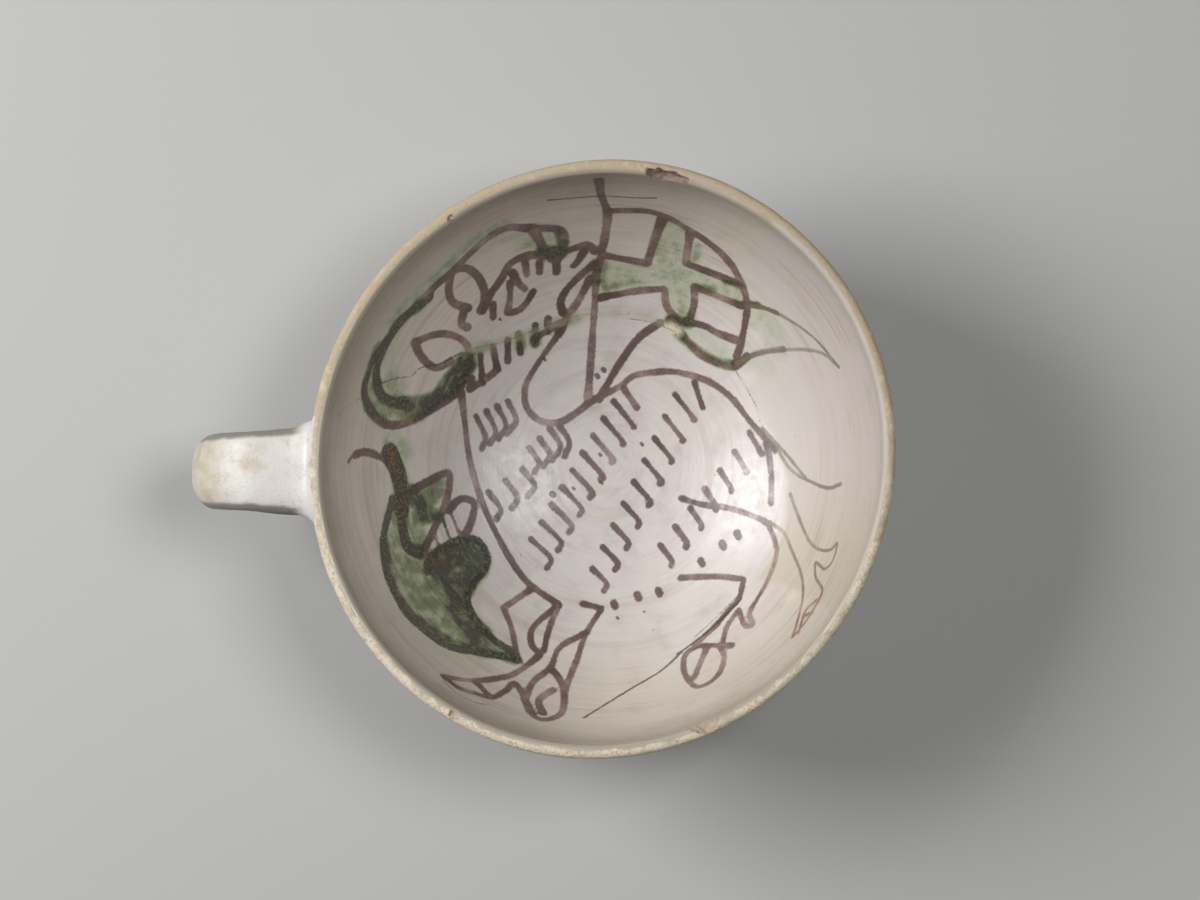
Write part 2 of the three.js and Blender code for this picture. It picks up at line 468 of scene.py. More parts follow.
def breakChips(body):
    tools = [chipTool(*place) for place in chips["places"]]
    for tool in tools:
        tool.select_set(True)
    bpy.context.view_layer.objects.active = tools[0]
    bpy.ops.object.join()
    chipTree = meshTree(tools[0])
    cut(body, tools[0], "DIFFERENCE")
    print("chips broken out:", len(chips["places"]))
    return chipTree


# The painter's sketch: millimetres on the plane of the lip as the painter looks down into the bowl,
# across and up from its middle. A point given twice is a sharp corner.
brush = {
    # half widths
    "banner": 1.02, "plume": 1.18, "plumeBack": 1.3, "head": 1.02, "mark": 0.88, "body": 0.9, "leaf": 1.0,
    "leafBand": 2.15, "twig": 1.08, "vein": 0.45, "leg": 0.84, "faded": 0.72, "ball": 0.76, "tick": 0.78,
    "dot": 0.82, "thread": 0.46, "mend": 0.8,
    # 2 is mixed with green, below 0 is thin
    "tones": {"leaf": 2, "leafBand": 2, "plumeBack": 2, "faded": -0.3, "ball": -0.15},
    "sampling": 0.3, "wobble": 0.22, "wobbleSize": 4.5, "reach": 3.0,
    "steepSpread": 0.16, "steepWall": (40.0, 62.0),  # strokes are wider by this share on the steep wall
    "startPress": 0.2, "endPress": 0.12, "pressLength": 1.6,  # the brush spreads where it is set down
    "load": 0.62, "startLoad": 0.25, "loadLength": 2.0, "pool": 0.5, "poolSize": 6.0,  # how dark it lies
    "washSoft": (-1.3, 2.6, 1.6),  # soft edge of a wash, from within to without, shorter where it is strong
    "fineInk": 0.6, "fineThin": (0.7, 0.4),  # how near an edge the mesh is made finer
    "patchSoft": 0.7, "dotTail": (0.4, -0.9), "fleckTail": (0.3, -0.3),
    "curveSteps": 12, "searchRounds": 40,
}

bannerLines = (
    [(-0.5, 66), (0, 62.5), (1.5, 57.5), (0.5, 50), (-1, 43.5), (-1.5, 36), (-3, 14.5)],
    [(1.5, 58.5), (10, 58.5), (15.5, 57), (21.5, 53.5), (26.5, 50), (30.5, 46), (33, 41.5), (34.5, 36.5),
     (34, 32), (33, 27), (32, 24)],
    [(14.5, 56.5), (12.5, 51), (11, 46), (11, 46), (0.5, 48)], [(21, 53), (20, 46), (20, 46), (33, 41)],
    [(0, 38), (8.5, 39.5), (15, 40), (15, 40), (15.5, 36), (18, 32.5)],
    [(33, 36), (22, 40.5), (22, 40.5), (22, 36.5), (21, 33)],
    [(16, 32.5), (23.5, 31.5), (27.5, 29.5), (31.5, 28)],
    [(18, 30.5), (20.5, 27.5), (23.5, 24.5), (27.5, 22.5), (31.5, 21.5), (34.5, 24)],
    [(-0.5, 14), (4.5, 22.5), (9, 28.5), (14, 32)],
)
plumeLines = (
    [(-17, 54.5), (-22.5, 54.5), (-27, 52), (-31.5, 48), (-35, 44.5), (-39.5, 40.5), (-42, 37.8)],
    [(-50.8, 28), (-53.4, 24.3), (-55.2, 20), (-56, 15.8), (-54.5, 11.5), (-51.5, 8.5), (-48, 8),
     (-44, 9.5), (-39.5, 12), (-34, 16), (-31, 22.5)],
    [(-17, 54.5), (-10, 54), (-9, 50.5), (-10.5, 47), (-13, 48.5), (-14.5, 51.5), (-16, 54)],
)
plumeBack = [
    (-41, 38), (-47, 33), (-50, 28.5), (-52.3, 24), (-53.2, 19.5), (-52, 15.2), (-49.4, 13.4),
    (-46.4, 13.2),
]
headLines = (
    [(-31.5, 35.5), (-35, 37), (-36, 40), (-35, 44), (-32, 45), (-29.5, 43.5), (-28, 41), (-27.5, 38),
     (-28.5, 35)],
    [(-28, 35), (-26, 39), (-23.5, 42.5), (-21.5, 46), (-17.5, 48), (-14.5, 48), (-10.5, 48), (-8, 49),
     (-5.5, 50), (-3, 50.5), (-1.5, 49)],
    [(-1.5, 46), (-4, 44), (-8, 40), (-9.5, 37), (-9, 34.5)],
    [(-2.5, 42.5), (-5.5, 37), (-8, 33.5), (-9, 31)],
    [(-44, 27.5), (-40.5, 29), (-37, 29.5), (-33.5, 28.5), (-31.5, 26.5), (-31, 24.5)],
    [(-44, 27.5), (-43, 25), (-41, 22.5), (-38.5, 21.5), (-35.5, 23)],
    [(-32.5, 34.5), (-33, 32), (-31.5, 31)],
)
headMarks = (
    [(-4, 49), (-5.5, 46.5), (-6.5, 45.5)], [(-18, 47), (-17.5, 43.5)], [(-14.5, 46.5), (-14.5, 44)],
    [(-10.5, 46), (-10.5, 44)], [(-21, 44), (-19.5, 41.5), (-18, 40)],
    [(-21.5, 41.5), (-21.5, 38), (-22, 35)], [(-16, 39.5), (-17.5, 37), (-19.5, 35), (-22, 34.5)],
    [(-25.5, 36.5), (-25.5, 33.5)], [(-31, 16.5), (-30.5, 19)], [(-28, 18), (-28.5, 24.5)],
    [(-24.5, 21), (-25.5, 26.5)], [(-22, 23), (-22, 28)], [(-19, 25), (-19.5, 29.5)],
    [(-15.5, 27), (-15.5, 31.5)], [(-12.5, 30), (-12.5, 33)], [(-31, 16.5), (-27.5, 18.5), (-24.5, 21)],
    [(-9.5, 32), (-13, 30), (-16, 28)],
    [(-58.2, 0.9), (-56.6, 1.5), (-55, 1.5), (-53, 0.8), (-50.5, -0.5)],
)
bodyLines = (
    [(-33, 15.5), (-32, 7.5), (-31, 0), (-28.5, -9), (-25.5, -16), (-21.5, -23.5), (-17, -29.5),
     (-10.5, -34)],
    [(-9.5, 30), (-13.5, 24.5), (-17, 19), (-18, 16), (-17.5, 12), (-14.5, 9), (-10, 8.5), (-5.5, 11),
     (-2.5, 13.5)],
    [(-2.5, 13.5), (4.5, 17), (8, 19.5), (15.5, 20.5), (21.5, 19.5), (26.5, 17.5), (31, 14), (34.5, 9.5),
     (37.5, 6), (41, 2)],
    [(39, 3.5), (40, -3), (40, -10.5)],
)
leafLines = (
    [(-49.2, -9.5), (-50.3, -13.5), (-51.3, -18), (-51.2, -24.5), (-48.9, -31.5), (-46, -36.5),
     (-42, -40.3), (-36.5, -44), (-30.5, -45.5), (-24, -46.5), (-19.5, -47.5)],
    [(-41, -26.5), (-40.5, -24), (-37.5, -21), (-32.5, -18.9), (-28.8, -19.6), (-26.8, -23),
     (-27.5, -26.3), (-30, -29.3), (-31.5, -33), (-29.5, -38), (-25.5, -42.5), (-20.5, -46)],
)
leafTwigs = (
    [(-44.5, -7.5), (-41, -5.5), (-36.3, -3.3), (-35.7, -6), (-36.8, -11), (-38.7, -15), (-40.6, -19.2),
     (-42.5, -22.3), (-45, -21.8)],
    [(-36, -12), (-33, -9.5), (-30, -10.5), (-30.5, -14.5), (-32, -18)],
)
leafVeins = (
    [(-39.5, -16), (-38.5, -20.5)], [(-37.2, -14.5), (-35.5, -19.5)], [(-35.5, -12.5), (-33.3, -18)],
    [(-59.8, -0.8), (-59, 0.4), (-57.6, 1.2), (-55, 1.5)],
)
leafBand = [(-50, 1.2), (-48.3, -2.5), (-47.2, -7.5), (-47.2, -12)]
leafStem = [(-47.2, -11), (-46.8, -16.5), (-45.6, -21), (-43, -22.3)]
legLines = (
    [(-16, -30.5), (-23, -35.2), (-23, -35.2), (-21.1, -40), (-19.7, -47)],
    [(-10, -34.5), (-12.2, -40), (-13.4, -45.2)],
    [(-10, -34.5), (-15.9, -39.7), (-16.4, -43.5), (-14.5, -46)],
    [(-4.2, -34.2), (0.2, -35.3), (0.2, -35.3), (-3.5, -41.2), (-5.7, -47.4), (-8.6, -54.7)],
    [(-3.5, -41), (-9.7, -44.5), (-11.9, -49.2), (-15.9, -52.5), (-18, -56.8)],
    [(-37, -51.4), (-29.9, -52.3), (-23.5, -51.6), (-20.3, -50.6), (-17, -48.4), (-14.5, -46.3)],
    [(-37, -51.4), (-33.5, -54), (-29.5, -55.3), (-25.8, -56.3), (-22.5, -54.7), (-20.3, -52.9),
     (-18.1, -56.2), (-15.9, -60.4)],
    [(-29.6, -52.5), (-26, -56.2)],
    [(-11.9, -49.2), (-9.7, -52), (-8.6, -55.5), (-9.4, -60), (-13.5, -61.5), (-16.7, -59.9),
     (-18, -56.8)],
    [(-13.7, -60), (-14.6, -56.9), (-11.2, -54.4)],
    [(19, -9.4), (24, -10.9), (30.5, -11.8), (36.5, -13.9), (39.5, -15.4)],
    [(18.8, -28.1), (27.3, -27.8), (33.6, -28.4), (33.6, -28.4), (32.4, -33), (29.8, -36), (27.3, -39)],
)
fadedLines = (
    [(39.1, -15.2), (40.9, -19.3), (41.2, -23.1), (39.1, -28.9), (36.8, -33), (34.9, -36.5), (35.7, -39),
     (33.9, -39.2), (32.6, -36.2)],
    [(32.4, -35.7), (30.6, -38), (29.4, -40.2), (28.6, -43.6)], [(27.3, -39), (24.6, -41.6), (22, -44.2)],
    [(36, 36.2), (39, 35.3), (41.5, 34.2)], [(33.5, 23.4), (38, 25), (43, 25.7)],
)
ballLines = (
    [(30.7, -44), (27.8, -44), (24, -44), (20.2, -45.7), (19.4, -49.1), (20.6, -52.2), (23.1, -53.7),
     (27.3, -51.2), (29, -46.8), (27.8, -44)],
    [(24.8, -44.7), (21.9, -51.6)],
)
tickRows = (  # first tick, last tick, how many, stroke and hook of the first, stroke and hook of the last
    ((3, 13.5), (-16.5, -19), 9, (4.5, -5.6), (0.1, -0.4), (4.6, -4.4), (-0.8, -2.4)),
    ((17.5, 15), (-2, -26), 9, (4.2, -5.4), (0.1, -0.4), (3.3, -3.4), (-0.6, -1.8)),
    ((35, 6), (14, -20.5), 7, (2.6, -4.6), (0.1, -0.4), (2.6, -3.4), (-0.1, -1.4)),
    ((-29.5, 10), (-22, 13.5), 4, (2.2, -4.8), (-0.8, -2.8), (2, -4.4), (-2.2, -3.2)),
    ((-26.5, -8), (-18.5, -2.5), 3, (2.8, -3.8), (-1, -2.6), (2.8, -3.8), (-1.6, -2.6)),
    ((-17, 2.5), (-12, 7), 3, (2.4, -3.4), (-1.2, -2.4), (2.4, -4), (-1.8, -3.4)),
)
looseTicks = ([(5, 17), (8.5, 12)], [(22, 18), (24, 12)], [(-10, 8), (-7.5, 4), (-8.5, 0.5)])
dots = ((3, -34), (8.5, -32), (13.5, -31), (23.5, -24), (28.5, -20), (32, -17.5))
threads = (  # thin retouched lines on the restored wall
    [(34.5, 36), (39.5, 35), (44.5, 32.5), (50, 28.5), (54, 24), (56, 21.5)],
    [(32, 22.5), (36.5, 24.5), (43, 25.5), (48.5, 25.5), (52.5, 24.5), (56, 21.5)],
    [(40.5, 4), (44.5, -2.5), (49.5, -5.6), (53.5, -7), (56.5, -6)], [(38, 7), (43.5, 1), (48, -4.5)],
    [(46.4, -41), (48, -36), (50.5, -33.4)], [(47.6, -37), (49.6, -36.4)],
    [(39.5, -15), (43, -17.5), (45, -22), (47, -27), (47.5, -32), (46.5, -37), (45, -42)],
    [(44.5, -8.5), (46.5, -14), (49, -19.5), (51.5, -21.5), (54, -21.5), (55.5, -20), (54.5, -24),
     (52.5, -26), (50.5, -24.5), (50.5, -28), (52, -31), (50.5, -34.5), (48, -38.5), (45, -42)],
)
stubs = ([(34, 36.5), (37, 36)], [(31.5, 22.5), (35, 24)])
washes = (  # half width, strength and line of each touch of green
    (1.8, 0.26, [(-19, 52.6), (-25.5, 51), (-30, 47.6)]),
    (2.9, 0.36, [(-24, 54.6), (-28, 52.6), (-32.6, 48.9), (-36.2, 45.5), (-40.8, 41.4), (-45, 37.4),
                 (-49.4, 32.6)]),
    (1.9, 0.95, [(-43, 36.5), (-48, 32), (-51, 27), (-53.2, 21), (-52.5, 15.6), (-49.6, 13.4),
                 (-46, 13.2)]),
    (1.6, 0.9, [(-53, 26), (-55, 21), (-56, 15.5), (-54.3, 11), (-51.3, 8.8)]),
    (2.4, 0.5, [(-54.5, 16), (-52.5, 11.5), (-48, 10.3), (-43.5, 11)]),
    (2.6, 0.36, [(-49.4, 18.5), (-48, 16.6)]), (2.2, 0.2, [(-48.5, 27), (-50, 21.5)]),
    (2.9, 1.0, [(-44, 11.6), (-39, 14), (-35, 18), (-32, 22.5)]), (2.2, 0.36, [(-18, 51), (-13.5, 51.5)]),
    (2.0, 1.0, [(-13.6, 48.7), (-10, 48.7)]), (1.3, 0.85, [(-9.8, 53.6), (-9, 51)]),
    (1.2, 0.6, [(-16, 54.5), (-12, 54.3)]), (3.6, 1.0, [(-38.5, -24.7), (-34, -22.6), (-31.5, -22.6)]),
    (2.9, 0.88, [(-30.2, -21.6), (-28.8, -23.5), (-30, -26.8), (-32.6, -30)]),
    (3.5, 1.0, [(-37.3, -27), (-34.5, -31), (-33.5, -36), (-28.5, -42)]),
    (2.2, 0.8, [(-30.5, -24.6), (-32.4, -27.6)]), (2.4, 0.62, [(-40.5, -30), (-38, -34), (-35.5, -37.5)]),
    (3.0, 0.48, [(-49, -14), (-49, -20), (-47, -27)]),
    (3.6, 0.54, [(-46.5, -26), (-43, -33), (-36, -39.5), (-28, -44)]),
    (2.8, 0.5, [(-44.5, -23.5), (-42.5, -27.5), (-40, -32)]),
    (1.7, 0.95, [(-51, -20), (-49.8, -28), (-46, -34.8), (-41.5, -39.2), (-35, -43.2), (-28, -45),
                 (-20.5, -47.2)]),
    (4.2, 0.18, [(-47, -34), (-41, -42), (-32, -47)]), (2.6, 0.34, [(-49.4, 4), (-47, 2)]),
    (2.2, 0.86, [(-49.6, 0.8), (-47.8, -4), (-47.1, -9), (-47.1, -13)]),
    (1.8, 0.95, [(-47, -13), (-46.6, -17), (-45.3, -21), (-42.6, -22)]),
    (2.5, 0.6, [(-41, -8.4), (-38.2, -6.8)]), (2.4, 0.9, [(-44.8, -8.6), (-42.8, -10.2), (-41.2, -12.6)]),
    (1.8, 0.92, [(-43, -13.8), (-38.6, -13.4)]), (2.2, 0.5, [(-43.8, -16.6), (-42.6, -19)]),
    (3.3, 0.3, [(1, 43), (8, 43.5), (16, 43.5), (24, 41), (31, 38.5)]),
    (3.2, 0.32, [(17.5, 55), (16.5, 50), (16.5, 44), (18.5, 38), (19, 34)]),
    (1.1, 0.55, [(0.5, 46), (1, 40)]), (1.0, 0.52, [(2.5, 40.7), (8.5, 41.6)]),
    (1.1, 0.45, [(23, 50), (22, 46.5)]), (1.0, 0.5, [(13.6, 53), (12.6, 48.5)]),
    (1.2, 0.46, [(19, 36.5), (18.8, 33.5)]), (2.5, 0.22, [(20, 31), (25, 28.5), (29.5, 25)]),
    (1.7, 1.0, [(17, 32.5), (20.5, 32)]), (1.2, 0.9, [(29.3, 41.9), (33, 40.8)]),
    (1.1, 0.6, [(23, 40.5), (26.5, 39.8)]), (3.5, 0.24, [(36, 34), (40, 31), (41.5, 27)]),
    (2.8, 0.2, [(34, 25), (38.5, 22)]), (1.4, 0.85, [(-1, 46), (-1, 42)]),
    (1.2, 0.8, [(18.5, 29.5), (22, 26), (27, 23), (31, 22)]), (1.3, 0.8, [(-15.5, 27.5), (-15.5, 29.5)]),
    (1.1, 0.7, [(-19, 26.5), (-19, 28.5)]), (1.0, 0.6, [(-30, 24.5), (-27, 26.5)]),
    (1.2, 0.5, [(-11, 31), (-6, 33)]),
)
rustMarks = (
    (1.3, 1.0, [(-49.6, 1), (-48.7, -1.6)]), (1.6, 0.24, [(-48.2, -4), (-47.1, -11)]),
    (1.4, 0.14, [(-47, -13), (-46, -20)]), (1.2, 0.3, [(-49, -30), (-44.5, -36.5), (-38, -41.5)]),
    (1.6, 0.26, [(-39, -23), (-36, -24)]),
)
cracks = (  # half width and line of each break in the glaze
    (0.3, [(-12.5, 61), (-6.5, 61.5), (0.5, 62), (9, 61.5), (13, 61.5)]),
    (0.12, [(31.5, 21), (34.5, 16), (37, 11.5)]),
    (0.28, [(33, -33), (30, -36), (26.5, -39.5), (21.5, -43.5), (18, -46)]),
    (0.12, [(32, -32.5), (27, -37.5), (22, -42)]),
    (0.32, [(19, -45.5), (14, -50), (6.5, -54.5), (-4, -61)]),
    (0.2, [(-53, 17.5), (-48.5, 19), (-45, 19.5), (-42.5, 21.5), (-38, 22.5), (-33, 25)]),
    (0.14, [(-67, 8), (-63, 10), (-60.5, 12), (-56, 15)]),
    (0.1, [(-30, 26), (-22, 28), (-12.5, 31.5), (-3.5, 34), (6.5, 34)]),
    (0.12, [(6, 33), (12, 32), (17, 30)]),
    (0.2, [(-37.2, -51.8), (-34.6, -54.9), (-30.8, -57), (-26.8, -58)]),
)
flecks = (
    (0.5, (-11.5, -8.3)), (0.3, (-6.6, -6.9)), (0.25, (0, -5.6)), (0.3, (-0.3, 1)), (0.5, (0.5, 21)),
    (0.5, (-1, 19.6)), (0.3, (-13.5, 23.5)), (0.35, (9.5, 3.5)), (0.3, (3.8, -37.4)), (0.25, (-24, 33)),
)
flakes = ((1.2, 0.9, [(16.6, 30.8), (18, 30)]), (0.9, 0.7, [(44, -33), (45, -32)]))
mendLine = [(-31, 25.5), (-21.5, 28.5), (-12, 31.5), (-3, 34), (6.5, 34), (13.5, 32.5), (17, 30.5)]
restoredPatch = [
    (34.5, 48), (38, 36.5), (40.5, 27), (37, 20), (34.5, 16), (41, 4.5), (44, -5), (43.5, -15.5),
    (41, -22), (36.5, -28.5), (44, -30), (53.5, -35.5), (58.5, -39), (70, -40), (75, 0), (70, 45),
    (42, 58),
]


def curveThrough(points):  # a soft curve through the points, as a loaded brush draws it
    points = np.asarray(points, float)
    framed = np.concatenate([[2 * points[0] - points[1]], points, [2 * points[-1] - points[-2]]])
    share = np.linspace(0, 1, brush["curveSteps"], endpoint=False)[:, None]
    runs = []
    for a, b, c, d in zip(framed, framed[1:], framed[2:], framed[3:]):
        bend = 2 * a - 5 * b + 4 * c - d + share * (3 * (b - c) + d - a)
        runs.append(b + share / 2 * (c - a + share * bend))
    return np.concatenate(runs + [points[-1:]])


def drawnLine(points):
    breaks = [i for i in range(1, len(points)) if points[i] == points[i - 1]]
    pieces = [points[a:b] for a, b in zip([0] + breaks, breaks + [len(points)])]
    return evenSteps(np.concatenate([curveThrough(piece) for piece in pieces]), brush["sampling"])


def carryDown(flat):  # from the plane of the lip along the line of sight to the clay
    eye = np.array(eyePoint())
    start = np.column_stack([flat, np.full(len(flat), clay["height"])])
    ray = (start - eye) / (eye[2] - clay["height"])
    shallow, deep = np.zeros(len(flat)), np.full(len(flat), clay["height"] - clay["floor"] + 1)
    for _ in range(brush["searchRounds"]):
        drop = (shallow + deep) / 2
        rounded = unsettle(start + ray * drop[:, None])
        above = rounded[:, 2] > innerHeightAt(radiusOf(rounded))
        shallow, deep = np.where(above, drop, shallow), np.where(above, deep, drop)
    return start + ray * shallow[:, None]


def seenFlat(points):  # where the line of sight to a point crosses the plane of the lip
    eye = np.array(eyePoint())
    share = (eye[2] - clay["height"]) / (eye[2] - points[:, 2])
    return eye[:2] + (points[:, :2] - eye[:2]) * share[:, None]


def stroke(points, half, seed, spread=0.0):
    line = carryDown(drawnLine(points))
    run = np.arange(len(line)) * brush["sampling"]
    waver = np.array([noise.noise(Vector((at / brush["wobbleSize"], seed * 3.7, 0.5))) for at in run])
    pool = np.array([noise.noise(Vector((at / brush["poolSize"], seed * 2.3, 7.5))) for at in run])
    length = brush["pressLength"]
    press = 1 + brush["wobble"] * waver + brush["startPress"] * np.exp(-((run / length) ** 2))
    press += brush["endPress"] * np.exp(-(((run[-1] - run) / length) ** 2))
    press *= 1 + spread * smoothStep(radiusOf(line), *brush["steepWall"])
    dip = np.exp(-((run / brush["loadLength"]) ** 2))
    shade = np.clip(brush["load"] + brush["pool"] * pool + brush["startLoad"] * dip, 0, 1)
    return line, half * press, shade


def tickStrokes():
    lines = list(looseTicks)
    for first, last, count, *ends in tickRows:
        for share in np.linspace(0, 1, count):
            slant, hook, lastSlant, lastHook = [np.array(end) for end in ends]
            top = (1 - share) * np.array(first) + share * np.array(last)
            knee = top + (1 - share) * slant + share * lastSlant
            foot = knee + (1 - share) * hook + share * lastHook
            lines.append([tuple(top), tuple(knee), tuple(foot)])
    return lines


def tailed(spot, tail):  # the short stroke that a touch of the brush leaves
    return [spot, (spot[0] + tail[0], spot[1] + tail[1])]


def inkStrokes():
    groups = ((bannerLines, "banner"), (plumeLines, "plume"), ([plumeBack], "plumeBack"),
              (headLines, "head"), (headMarks, "mark"), (bodyLines, "body"), (leafTwigs, "twig"),
              (leafLines, "leaf"), ([leafBand], "leafBand"), ([leafStem], "plumeBack"), (leafVeins, "vein"),
              (legLines + stubs, "leg"), (fadedLines, "faded"), (ballLines, "ball"), (tickStrokes(), "tick"),
              ([tailed(dot, brush["dotTail"]) for dot in dots], "dot"))
    pairs = [(points, kind) for group, kind in groups for points in group]
    strokes = []
    for seed, (points, kind) in enumerate(pairs):
        line, half, shade = stroke(points, brush[kind], seed, brush["steepSpread"])
        strokes.append((line, half, shade + brush["tones"].get(kind, 0)))
    return strokes


def crackStrokes():
    spots = [(half, tailed(fleck, brush["fleckTail"])) for half, fleck in flecks]
    return [stroke(line, half, 300 + i) for i, (half, line) in enumerate((*cracks, *spots))]


def strokeField(points, strokes):  # distance to the nearest stroke's edge, and that stroke's shade there
    reach = brush["reach"]
    field, tone = np.full(len(points), reach), np.zeros(len(points))
    for line, half, shade in strokes:
        margin = reach + half.max()
        near = np.all((points > line.min(axis=0) - margin) & (points < line.max(axis=0) + margin), axis=1)
        spots = np.flatnonzero(near)
        if not len(spots):
            continue
        gaps = np.linalg.norm(points[spots, None, :] - line[None], axis=2) - half
        best = gaps.argmin(axis=1)
        least = gaps[np.arange(len(spots)), best]
        closer = least < field[spots]
        field[spots[closer]] = least[closer]
        tone[spots[closer]] = shade[best[closer]]
    return field, tone


def washField(points, touches):  # soft touches of colour laid over each other, 0 to 1
    cover = np.zeros(len(points))
    within, without, shorter = brush["washSoft"]
    for seed, (half, strength, line) in enumerate(touches):
        gap, _ = strokeField(points, [stroke(line, half, seed + 50)])
        cover = np.maximum(cover, strength * (1 - smoothStep(gap, within, without - shorter * strength)))
    return cover


def patchField(points):  # 1 within the restored part of the wall, 0 outside it
    flat = seenFlat(points)
    corners = np.array(restoredPatch)
    inside = np.zeros(len(flat), bool)
    gap = np.full(len(flat), 1e3)
    for (ax, ay), (bx, by) in zip(corners, np.roll(corners, -1, axis=0)):
        crossing = (ay > flat[:, 1]) != (by > flat[:, 1])
        if ay != by:
            inside ^= crossing & (flat[:, 0] < (bx - ax) * (flat[:, 1] - ay) / (by - ay) + ax)
        side = np.array([bx - ax, by - ay])
        share = np.clip(((flat - (ax, ay)) @ side) / (side @ side), 0, 1)
        gap = np.minimum(gap, np.linalg.norm(flat - (ax, ay) - share[:, None] * side, axis=1))
    return smoothStep(np.where(inside, gap, -gap), -brush["patchSoft"], brush["patchSoft"])


# The mesh is made finer where the painting has an edge, so that each edge stays crisp
def faceLeast(piece, values):
    data = piece.data
    starts = np.empty(len(data.polygons), np.int32)
    corners = np.empty(len(data.loops), np.int32)
    data.polygons.foreach_get("loop_start", starts)
    data.loops.foreach_get("vertex_index", corners)
    return np.minimum.reduceat(values[corners], starts)


def refine(body, field, limit):
    data = body.data
    wanted = faceLeast(body, np.abs(field)) < limit
    data.vertices.foreach_set("select", np.zeros(len(data.vertices), bool))
    data.edges.foreach_set("select", np.zeros(len(data.edges), bool))
    data.polygons.foreach_set("select", wanted)
    enterEdit(body, "FACE")
    bpy.ops.mesh.subdivide(number_cuts=1, ngon=False)
    leaveEdit()
    putInOrder(body)


def clearSlivers(body):  # folded and needle-thin faces left by the breaks and the finer mesh
    enterEdit(body, "VERT", True)
    bpy.ops.mesh.remove_doubles(threshold=clay["fold"] * mm)
    bpy.ops.mesh.dissolve_degenerate(threshold=clay["sliver"] * mm)
    leaveEdit()
    putInOrder(body)


def insideField(body, strokes):
    points = places(body)
    field = np.full(len(points), brush["reach"])
    spots = np.flatnonzero(isInside(unsettle(points)))
    field[spots] = strokeField(points[spots], strokes)[0]
    return field


relief = {
    # height and pitch of the throwing rings
    "insideRings": ((0.035, 3.4), (0.02, 2.6)), "insideSwell": 0.08,
    "outsideRings": ((0.11, 5.2), (0.04, 2.3)), "outsideSwell": 0.16, "swellSize": 26.0,
    "ringEven": 0.6, "ringUneven": 0.6, "stillFoot": 0.1,  # how the rings come and go
    "lipWaver": 0.12, "lipWaverSize": 4.5, "stillMiddle": (3.0, 12.0),  # radii where the rings set in
}


def giveRelief(body):
    points = places(body)
    flat = np.empty(len(points) * 3, np.float32)
    body.data.vertices.foreach_get("normal", flat)
    normals = flat.reshape(-1, 3).astype(float)
    rounded = unsettle(points)
    radius = radiusOf(rounded)
    around = aroundOf(rounded)
    inside = isInside(rounded)
    onStrap = strapShare(rounded, inside)
    climb = radius + rounded[:, 2]
    height = np.zeros(len(points))
    swell = grainAt(points, relief["swellSize"], 3)
    for mask, rings, swellHeight in ((inside, relief["insideRings"], relief["insideSwell"]),
                                     (~inside, relief["outsideRings"], relief["outsideSwell"])):
        wave = sum(high * np.sin(2 * math.pi * climb / pitch + around) for high, pitch in rings)
        height += mask * (wave * (relief["ringEven"] + relief["ringUneven"] * swell) + swellHeight * swell)
    height *= smoothStep(radius, *relief["stillMiddle"]) * (1 - onStrap)
    foot = ~inside & (rounded[:, 2] < clay["neckHeight"])
    height[foot] *= smoothStep(rounded[foot, 2], relief["stillFoot"], clay["neckHeight"])
    lip = smoothStep(rounded[:, 2], lipBase - clay["lipZone"], clay["height"]) * (1 - onStrap)
    height += lip * relief["lipWaver"] * grainAt(points, relief["lipWaverSize"], 5)
    onHandle = np.flatnonzero(onStrap > 0)
    lumps = strap["lump"] * grainAt(points[onHandle], strap["lumpSize"], 8)
    lumps += strap["fineShare"] * strap["lump"] * grainAt(points[onHandle], strap["fineSize"], 9)
    height[onHandle] += onStrap[onHandle] * lumps
    setPlaces(body, points + normals * height[:, None])


def strapShare(rounded, inside):  # 1 on the handle, 0 on the wall
    gap = radiusOf(rounded) - outerRadiusAt(rounded[:, 2])
    along, height = strap["glazeZone"]
    onHandle = ~inside & (rounded[:, 0] < along) & (rounded[:, 2] > height)
    return onHandle * smoothStep(gap, *strap["glazeFrom"])


def storeField(body, name, values):
    attribute = body.data.attributes.new(name, "FLOAT", "POINT")
    attribute.data.foreach_set("value", np.asarray(values, np.float32))


def storeFields(body, ink, thin, split, mend, chipTree):
    points = places(body)
    rounded = unsettle(points)
    inside = isInside(rounded)
    spots = np.flatnonzero(inside)
    far = brush["reach"]
    for name, strokes in (("ink", ink), ("thread", thin), ("crack", split), ("mend", mend)):
        field, tone = np.full(len(points), far), np.zeros(len(points))
        field[spots], tone[spots] = strokeField(points[spots], strokes)
        storeField(body, name, field)
        if name == "ink":
            storeField(body, "inkTone", tone)
    for name, touches in (("green", washes), ("rust", rustMarks), ("flake", flakes)):
        cover = np.zeros(len(points))
        cover[spots] = washField(points[spots], touches)
        storeField(body, name, cover)
    patch = np.zeros(len(points))
    patch[spots] = patchField(points[spots])
    storeField(body, "patch", patch)
    storeField(body, "outside", ~inside)
    storeField(body, "handle", strapShare(rounded, inside))
    storeField(body, "strapSide", 2 * np.abs(points[:, 1] - strap["offset"]) / strapWidth(-points[:, 0]))
    wellBelow = 20.0  # the handle past the lip has no worn edge
    below = np.where(points[:, 0] < strap["lipEnd"], wellBelow, clay["height"] - rounded[:, 2])
    storeField(body, "below", below)
    storeField(body, "across", radiusOf(rounded) - lipMiddle)
    chip = np.full(len(points), far)
    lip = np.flatnonzero(points[:, 2] > clay["height"] - chips["zone"])
    chip[lip] = np.minimum(nearest(chipTree, points[lip]), far)
    storeField(body, "chip", chip)


